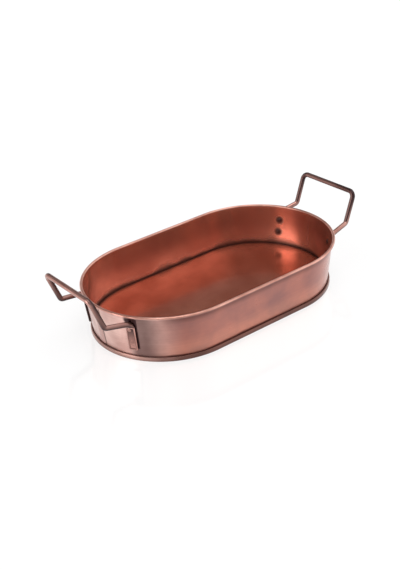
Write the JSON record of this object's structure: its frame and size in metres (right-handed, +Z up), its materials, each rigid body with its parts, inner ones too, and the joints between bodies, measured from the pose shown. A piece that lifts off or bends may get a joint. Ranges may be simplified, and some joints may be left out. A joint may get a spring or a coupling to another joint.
{
  "type": "oval serving tray",
  "caption": "Straight-sided oval serving tray in antiqued copper, with a curled rim, a seamed foot and bent rod handles riveted at both ends.",
  "frame": {"origin": "on the table plane under the middle of the tray", "axes": "+X along the tray towards the right handle, +Y across it towards the rear, +Z up"},
  "size_m": [0.325, 0.163, 0.0782],
  "materials": {
    "wall_band": "antiqued copper, satin, lacquered",
    "bottom_panel": "antiqued copper, satin, lacquered",
    "handles": "antiqued copper, darkened satin",
    "rivets": "darkened copper"
  },
  "bodies": {
    "root": {"wall_band": "wall_band", "bottom_panel": "bottom_panel", "handle_left": "handles", "handle_right": "handles", "rivet_left_front_upper": "rivets", "rivet_left_front_lower": "rivets", "rivet_left_rear_upper": "rivets", "rivet_left_rear_lower": "rivets", "rivet_right_front_upper": "rivets", "rivet_right_front_lower": "rivets", "rivet_right_rear_upper": "rivets", "rivet_right_rear_lower": "rivets"}
  },
  "joints": []
}
